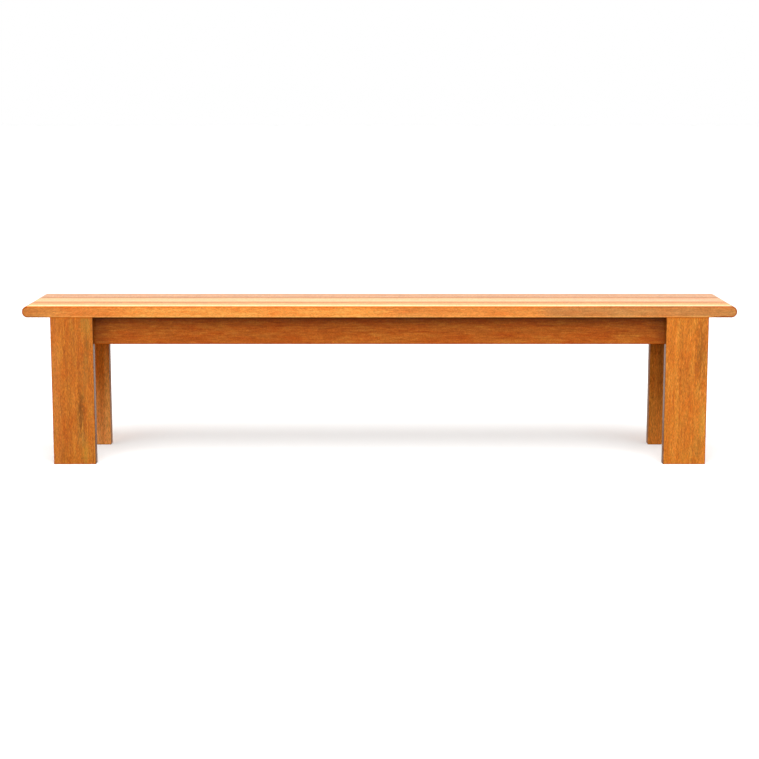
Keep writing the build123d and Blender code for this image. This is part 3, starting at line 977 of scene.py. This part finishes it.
class BENCH_OT_stage(bpy.types.Operator):
    """Lay the pale floor, light it softly and set up the camera"""

    bl_idname = "bench.stage"
    bl_label = "Stage"

    FLOOR_REACH, FLOOR_LINES = 60.0, 9
    SOFTBOX_SIZE = (5.0, 3.0)
    SOFTBOX_PLACE = (0.0, -2.2, 3.2)
    SOFTBOX_AIM = (0.0, 0.0, 0.25)
    SENSOR_WIDTH = 36.0

    def execute(self, context):
        stage = context.scene.bench_stage
        self.floor(stage)
        self.light(context.scene, stage)
        self.camera(context.scene, stage)
        return {"FINISHED"}

    def seen_directly(self, tree):
        """1 for rays from the camera and for what gloss and glass show of the room, else 0."""
        rays = add(tree, "LightPath").outputs
        first = add(tree, "Math", [
            rays["Is Camera Ray"], rays["Is Glossy Ray"]], operation="MAXIMUM")
        return add(tree, "Math", [first, rays["Is Transmission Ray"]], operation="MAXIMUM")

    def floor(self, stage):
        """A flat grid of squares: X and Y run evenly over the floor's reach and Z is 0."""
        line = np.linspace(-self.FLOOR_REACH, self.FLOOR_REACH, self.FLOOR_LINES)
        grid_x, grid_y = np.meshgrid(line, line)
        points = np.stack([grid_x, grid_y, np.zeros_like(grid_x)], -1).reshape(-1, 3)
        count = len(line)
        corner = (np.arange(count - 1)[:, None] * count + np.arange(count - 1)).ravel()
        faces = np.stack([corner, corner + 1, corner + count + 1, corner + count], 1)
        mesh = bpy.data.meshes.new("floor")
        mesh.from_pydata(points.tolist(), [], faces.tolist())
        floor = bpy.data.objects.new("floor", mesh)
        bpy.context.scene.collection.objects.link(floor)
        material, tree = new_material("matt_floor_paint")
        colour = add(tree, "Mix", {
            0: self.seen_directly(tree), 6: tuple(stage.floor_bounce), 7: tuple(stage.floor)},
            data_type="RGBA")
        paint = add(tree, "BsdfDiffuse", {"Color": colour, "Roughness": 1.0})
        add(tree, "OutputMaterial", {"Surface": paint})
        mesh.materials.append(material)

    def light(self, scene, stage):
        """An even sky, which looks white but lights at its own strength, and one softbox."""
        world = bpy.data.worlds.new("studio_sky")
        world.use_nodes = True
        tree = world.node_tree
        tree.nodes.clear()
        strength = add(tree, "MapRange", {
            "Value": self.seen_directly(tree), "To Min": stage.sky, "To Max": 1.0})
        sky = add(tree, "Background", {"Color": (1.0, 1.0, 1.0, 1.0), "Strength": strength})
        add(tree, "OutputWorld", {"Surface": sky})
        scene.world = world
        lamp = bpy.data.lights.new("softbox", "AREA")
        lamp.shape = "RECTANGLE"
        lamp.size, lamp.size_y = self.SOFTBOX_SIZE
        lamp.energy = stage.softbox
        holder = bpy.data.objects.new("softbox", lamp)
        holder.location = self.SOFTBOX_PLACE
        aim = Vector(self.SOFTBOX_AIM) - Vector(self.SOFTBOX_PLACE)
        holder.rotation_euler = aim.to_track_quat("-Z", "Y").to_euler()
        scene.collection.objects.link(holder)

    def camera(self, scene, stage):
        """A level camera in front of the middle of the bench, tilted down a little."""
        camera = bpy.data.cameras.new("camera")
        camera.sensor_width = self.SENSOR_WIDTH
        camera.lens = self.SENSOR_WIDTH * stage.focal_share
        holder = bpy.data.objects.new("camera", camera)
        holder.location = (0.0, cad_box[0][Y] - stage.distance, stage.height)
        holder.rotation_euler = (math.pi / 2 - stage.tilt, 0.0, 0.0)
        scene.collection.objects.link(holder)
        scene.camera = holder
        scene.view_settings.view_transform = "Standard"


class BENCH_PT_panel(bpy.types.Panel):
    """Lists the pieces of the bench and their settings"""

    bl_idname = "BENCH_PT_panel"
    bl_label = "Long backless bench"
    bl_space_type = "VIEW_3D"
    bl_region_type = "UI"
    bl_category = "Bench"

    def draw(self, context):
        for operator in OPERATORS:
            self.layout.operator(operator.bl_idname)
        for name, group in SETTINGS.items():
            box = self.layout.box()
            box.label(text=group.__doc__)
            for setting in group.__annotations__:
                box.prop(getattr(context.scene, name), setting)


OPERATORS = (
    BENCH_OT_seat_boards, BENCH_OT_legs, BENCH_OT_rails, BENCH_OT_inner_wood,
    BENCH_OT_bolts, BENCH_OT_screws, BENCH_OT_stage)
SETTINGS = {
    "bench_seat": SeatSettings, "bench_legs": LegSettings, "bench_fasteners": FastenerSettings,
    "bench_finish": FinishSettings, "bench_stage": StageSettings}
CLASSES = (*SETTINGS.values(), *OPERATORS, BENCH_PT_panel)


def register():
    for item in CLASSES:
        bpy.utils.register_class(item)
    for name, group in SETTINGS.items():
        setattr(bpy.types.Scene, name, bpy.props.PointerProperty(type=group))


def unregister():
    for name in SETTINGS:
        delattr(bpy.types.Scene, name)
    for item in reversed(CLASSES):
        bpy.utils.unregister_class(item)


def main():
    """Register the add-on and make every piece in order."""
    register()
    bpy.ops.bench.seat_boards()
    bpy.ops.bench.legs()
    bpy.ops.bench.rails()
    bpy.ops.bench.inner_wood()
    bpy.ops.bench.bolts()
    bpy.ops.bench.screws()
    bpy.ops.bench.stage()


if __name__ == "__main__":
    main()
